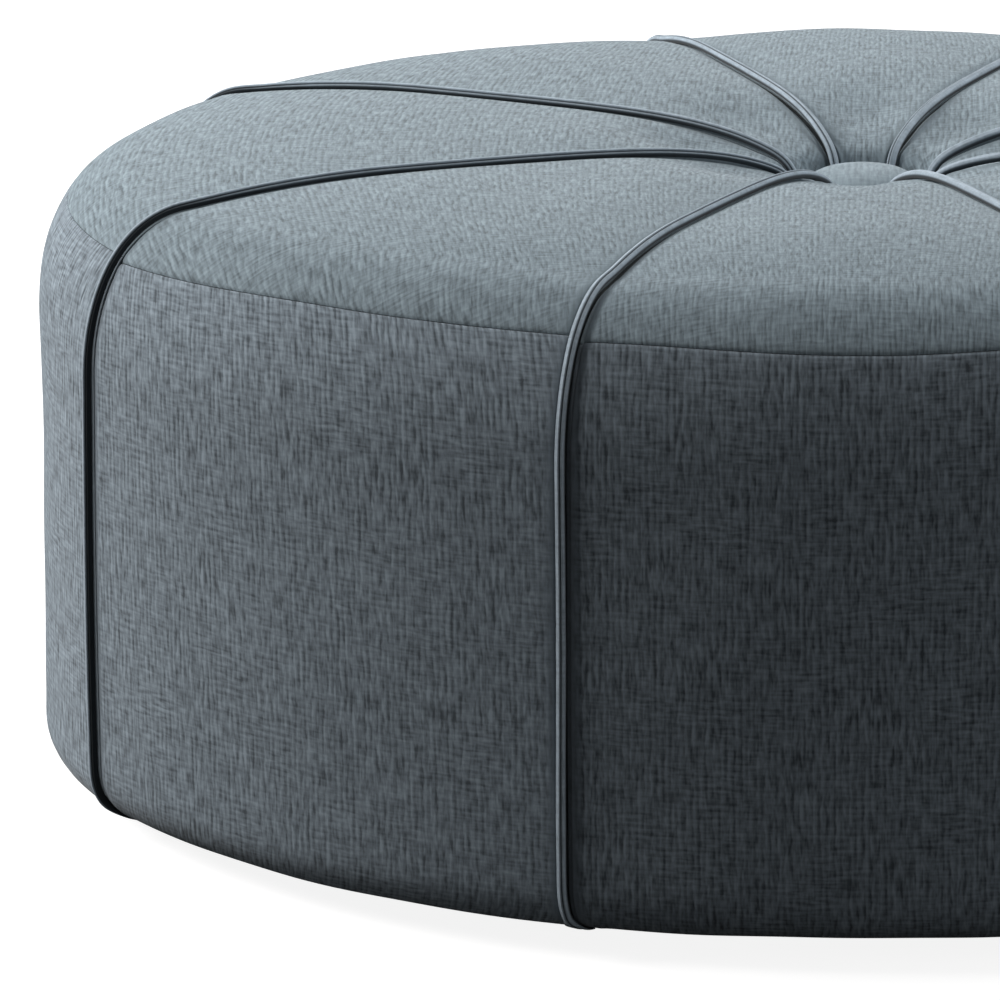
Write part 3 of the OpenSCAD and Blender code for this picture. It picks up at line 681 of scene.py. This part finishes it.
# The crease's depth and width, and the width of the painted shade along it
CREASE, CREASE_WIDE, CREASE_SHADE_WIDE = 0.32, 0.22, 0.21
HOLLOW, HOLLOW_AT, HOLLOW_WIDE = 0.12, -0.45, 0.4
# The cord's flanks are painted dark as shade where they turn into the groove
FLANK_SHADE, FLANK_SHADE_AT, FLANK_SHADE_SHARP = 0.95, 1.5, 0.08
# The far welts are painted dark down the side, as the shade of their grooves
GROOVE_SHADE, GROOVE_ROUND, GROOVE_START, GROOVE_FULL = 0.9, (0.75, 1.0), 130, 30
# The tail is folded under, wider and flatter, where it is stapled
TAIL_START, TAIL_FULL, TAIL_WIDER, TAIL_FLATTER = 27, 12, 1.4, 0.65
# The cord's radius as a share of the CAD's, and how far out it lies, less so at its tail
WELT_SHARE, WELT_OUT, TAIL_OUT = 0.9, 1.5, 0.3
# How long its rounded ends are, how uneven its radius is, and how far it sways
END_ROUND, LUMPS, SWAY = 3.0, 0.02, 0.7
for k in WEDGES:
    kind = kind_of(k)
    far = kind in (SLANT, END)
    t = np.linspace(0, LENGTH, 900)
    line = [np.interp(t, along, whole[:, i]) for i in range(4)]
    r = station_r(line, kind, HALF)
    route = np.c_[r, line[1] - line[2] - valley(kind, t, HALF)]
    keep = (r >= WELT_IN) & ~((line[1] < TUCK_Z) & (line[3] > TAIL_IN))
    route = softened(evenly(route[keep], WELT_POINTS, route[keep, 0]), 3)
    tangent = np.gradient(route, axis=0)
    tangent /= np.linalg.norm(tangent, axis=1, keepdims=True)
    out = np.c_[-tangent[:, 1], tangent[:, 0]]
    arc = travelled(*route.T)
    left = arc[-1] - arc
    # The crease, and how much painted shade each place of the cord takes in the crease, on its
    # flanks and in the groove
    stitch = STITCH_FAR if far else STITCH_NEAR
    hollow = HOLLOW * hump(ROUND, HOLLOW_AT, HOLLOW_WIDE)
    crease = 1 - CREASE * hump(ROUND, stitch, CREASE_WIDE) - hollow
    flank_shade = FLANK_SHADE / (1 + np.exp(-(np.abs(ROUND) - FLANK_SHADE_AT) / FLANK_SHADE_SHARP))
    welt_shade = hump(ROUND, stitch, CREASE_SHADE_WIDE) + flank_shade + 0 * arc[:, None]
    if far:
        down = ease(arc, SEAM_V - GROOVE_START, SEAM_V - GROOVE_FULL)[:, None]
        welt_shade = welt_shade + GROOVE_SHADE * ease(ROUND, *GROOVE_ROUND) * down
    welt_shade = np.minimum(1, welt_shade)
    # The cord's own radius, its ends and tail, and how it sways from side to side
    uneven = 1 + LUMPS * bump_noise(arc / 40, 0 * arc + k, 200 + k, 7, 0.5, 2.0)
    rad = WELT_SHARE * WELT_R * crease * uneven[:, None]
    tail = ease(-left, -TAIL_START, -TAIL_FULL)
    ends = np.sqrt(np.clip(np.minimum(arc, left) / END_ROUND, 0.02, 1))
    sway = SWAY * bump_noise(arc / 300, 0 * arc + k, 300 + k, 5, 0.5, 1.4)
    sway *= np.clip(arc / 60, 0, 1) * np.clip(left / 40, 0, 1)
    wide, high = ends * (1 + TAIL_WIDER * tail), ends * (1 - TAIL_FLATTER * tail)
    x = rad * np.sin(ROUND) * wide[:, None] + sway[:, None]
    d = rad * np.cos(ROUND) * high[:, None] + (WELT_OUT - TAIL_OUT * tail)[:, None]
    p = np.dstack([x, -(route[:, :1] + out[:, :1] * d), route[:, 1:] + out[:, 1:] * d])
    p = turned(p, STEP * (k - 1) + HALF)
    rows, cols = p.shape[:2]
    last = (rows - 1) * cols
    faces = grid_faces(rows, cols, 0, False, True)
    faces += [tuple(range(cols - 1, -1, -1)), tuple(last + j for j in range(cols))]
    uv = np.dstack([ROUND * WELT_R + 0 * rad + WELT_AT * k, arc[:, None] + 0 * rad])
    # The cord's near attribute carries its painted shade
    w = mesh(f"welt_cord_{k}", p, faces, uv, welt_shade.ravel())
    w.data.materials.append(piping)
    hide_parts(f"welt_{k}")

# Button, a dome with small folds in the fabric round its edge
FOLD, FOLDS, FOLD_IN, FOLD_RUN = 0.35, 17, 25.0, 9.0
tilt = np.linspace(math.pi / 2, -math.pi / 2, 60)
dome_r = BUTTON_R * np.maximum(0, np.cos(tilt)) ** 0.7
height = np.where(tilt > 0, BUTTON_RISE, BUTTON_UNDER) * np.sin(tilt)
dome_z = BUTTON_Z + BUTTON_UNDER + height
th = np.linspace(0, 2 * math.pi, 97)[:-1]
wave = FOLD * np.cos(FOLDS * th + 1.3 * np.sin(3 * th))[None, :]
r = dome_r[:, None] + wave * np.clip((dome_r[:, None] - FOLD_IN) / FOLD_RUN, 0, 1)
p = np.dstack([r * np.sin(th)[None, :], -r * np.cos(th)[None, :], dome_z[:, None] + 0 * r])[1:-1]
rows, cols = p.shape[:2]
verts = np.vstack([p.reshape(-1, 3), [[0, 0, dome_z[0]], [0, 0, dome_z[-1]]]])
faces = grid_faces(rows, cols, 0, False, True)
n, last = rows * cols, (rows - 1) * cols
faces += [(n, (j + 1) % cols, j) for j in range(cols)]
faces += [(n + 1, last + j, last + (j + 1) % cols) for j in range(cols)]
button = mesh("button_cap", verts, faces, verts[:, :2] + BUTTON_AT, np.zeros(len(verts)))
button.data.materials.append(plain)
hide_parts("button_cover", "button_pad")


# Finishes of the CAD pieces

def grained(name, light, dark, scale, rough=0.7):
    """A finish in two tones, with so many grains to a metre along each axis."""
    m, nt, b = principled(name, light, rough)
    f = noise(nt, add(nt, "ShaderNodeTexCoord").outputs["Object"], scale, 3.0, 0.6)
    nt.links.new(tones(nt, f, [(0.35, dark), (0.65, light)]), b.inputs["Base Color"])
    bumped(nt, b, f, 0.2, 0.0004)
    return m


def thrice(value):
    return (value, value, value)


TIMBER, WOOD_DARK, PLY = (0.66, 0.48, 0.27), (0.50, 0.34, 0.17), (0.62, 0.45, 0.25)
BOARD, BOARD_DARK = (0.33, 0.21, 0.11), (0.26, 0.16, 0.08)
TWINE, TWINE_DARK = (0.72, 0.66, 0.48), (0.55, 0.49, 0.33)
BLACK, BLACK_DARK = (0.020, 0.020, 0.022), (0.012, 0.012, 0.013)
PLASTIC, PLASTIC_DARK = (0.030, 0.030, 0.032), (0.022, 0.022, 0.024)
ZINC, STEEL = (0.62, 0.61, 0.58), (0.50, 0.50, 0.51)
FINISHES = {
    "timber": grained("sawn_timber", TIMBER, WOOD_DARK, (60, 60, 6)),
    "plywood": grained("plywood", PLY, WOOD_DARK, (6, 60, 60)),
    "fibreboard": grained("fibreboard", BOARD, BOARD_DARK, thrice(200)),
    "twine": grained("twine", TWINE, TWINE_DARK, (400, 400, 120), 0.9),
    "dust_cloth": grained("dust_cloth", BLACK, BLACK_DARK, thrice(700), 0.95),
    "glide_plastic": grained("glide_plastic", PLASTIC, PLASTIC_DARK, thrice(90), 0.45),
    "zinc_screw": principled("zinc", ZINC, 0.35, Metallic=1.0)[0],
    "steel_screw": principled("steel", STEEL, 0.3, Metallic=1.0)[0],
}
KINDS = {"button_former": "timber", "button_twine": "twine", "twine_toggle": "timber",
         "side_liner": "fibreboard", "top_board": "plywood", "base_board": "plywood",
         "deck_screws": "zinc_screw", "base_screws": "zinc_screw", "dust_cover": "dust_cloth",
         "glides": "glide_plastic", "glide_screws": "steel_screw"}
for k in WEDGES:
    KINDS[f"post_{k}"] = "timber"
for name, finish in KINDS.items():
    nodes[name].data.materials.clear()
    nodes[name].data.materials.append(FINISHES[finish])

# Floor and background, white for the camera, while the object gets little light back from them
FLOOR_SIZE, SHOWN, GLOW, DULL = 30, thrice(0.36), 0.88, thrice(0.10)
SKY, SKY_STRENGTH, WHITE = (0.90, 0.95, 1.0), 0.012, thrice(1)


def seen_white(nt):
    """1 for the rays that see the white background: from the camera, from gloss, through glass."""
    rays = add(nt, "ShaderNodeLightPath").outputs
    return maths(nt, "MAXIMUM", rays["Is Camera Ray"],
                 maths(nt, "MAXIMUM", rays["Is Glossy Ray"], rays["Is Transmission Ray"]))


bpy.ops.mesh.primitive_plane_add(size=FLOOR_SIZE, location=(0, 0, 0))
floor = bpy.context.object
floor.name = "floor"
m = bpy.data.materials.new("floor_white")
m.use_nodes = True
nt = m.node_tree
nt.nodes.clear()
# The part of the floor's white that takes the object's shadow, and the part that glows
shown = add(nt, "ShaderNodeBsdfDiffuse")
shown.inputs["Color"].default_value = (*SHOWN, 1)
glow = add(nt, "ShaderNodeEmission")
glow.inputs["Color"].default_value = (*WHITE, 1)
glow.inputs["Strength"].default_value = GLOW
both = add(nt, "ShaderNodeAddShader")
dull = add(nt, "ShaderNodeBsdfDiffuse")
dull.inputs["Color"].default_value = (*DULL, 1)
which = add(nt, "ShaderNodeMixShader")
nt.links.new(shown.outputs[0], both.inputs[0])
nt.links.new(glow.outputs[0], both.inputs[1])
nt.links.new(seen_white(nt), which.inputs["Fac"])
nt.links.new(dull.outputs[0], which.inputs[1])
nt.links.new(both.outputs[0], which.inputs[2])
nt.links.new(which.outputs[0], add(nt, "ShaderNodeOutputMaterial").inputs["Surface"])
floor.data.materials.append(m)

world = bpy.data.worlds.new("studio")
bpy.context.scene.world = world
world.use_nodes = True
wn = world.node_tree
sky = wn.nodes["Background"]
sky.inputs["Color"].default_value = (*SKY, 1)
sky.inputs["Strength"].default_value = SKY_STRENGTH
white = add(wn, "ShaderNodeBackground")
white.inputs["Color"].default_value = (*WHITE, 1)
mix = add(wn, "ShaderNodeMixShader")
wn.links.new(seen_white(wn), mix.inputs["Fac"])
wn.links.new(sky.outputs[0], mix.inputs[1])
wn.links.new(white.outputs[0], mix.inputs[2])
wn.links.new(mix.outputs[0], wn.nodes["World Output"].inputs["Surface"])

# Lamps, each so far from a point above the floor that it is turned to
LAMP_FAR, AIM_Z, WARM = 3, 0.25, (1.0, 0.98, 0.96)


def lamp(name, turn, rise, size, power, color=(1, 1, 1)):
    """A square lamp, at degrees turned from +X and risen from the floor, in metres and watts."""
    turn, rise = math.radians(turn), math.radians(rise)
    way = Vector((math.cos(rise) * math.cos(turn), math.cos(rise) * math.sin(turn), math.sin(rise)))
    data = bpy.data.lights.new(name, "AREA")
    data.size = size
    data.energy = power
    data.color = color
    o = bpy.data.objects.new(name, data)
    o.location = Vector((0, 0, AIM_Z)) + LAMP_FAR * way
    o.rotation_mode = "QUATERNION"
    o.rotation_quaternion = (-way).to_track_quat("-Z", "Y")
    bpy.context.collection.objects.link(o)


lamp("left", 182, 31, 1.1, 57, WARM)
lamp("left_back", 150, 20, 1.4, 60, WARM)
lamp("back", 92, 30, 2.2, 27)
lamp("right_back", 20, 35, 1.8, 47)
lamp("top", 90, 84, 2.4, 14)
lamp("front", 270, 20, 2.0, 3.7)
lamp("right_front", 330, 25, 2.0, 11)

# The photo's camera

# Focal length, optical centre and picture width in pixels, and sensor width in millimetres
F_PX, CX, CY, WIDE_PX, SENSOR = 6116.0, 861.9, 529.0, 1000, 36.0
# Distance from the stool's middle and height in metres, pitch and turn in degrees
DIST, HIGH, PITCH, TURN = 3.442, 1.125, 16.06, 0.76
cam_data = bpy.data.cameras.new("photo")
cam_data.sensor_width = SENSOR
cam_data.lens = F_PX / WIDE_PX * SENSOR
cam_data.shift_x = (WIDE_PX / 2 - CX) / WIDE_PX
cam_data.shift_y = (CY - WIDE_PX / 2) / WIDE_PX
cam = bpy.data.objects.new("photo", cam_data)
turn = math.radians(TURN)
cam.location = (DIST * math.sin(turn), -DIST * math.cos(turn), HIGH)
cam.rotation_euler = (math.radians(90 - PITCH), 0, turn)
bpy.context.collection.objects.link(cam)
bpy.context.scene.camera = cam
bpy.context.scene.view_settings.view_transform = "Standard"
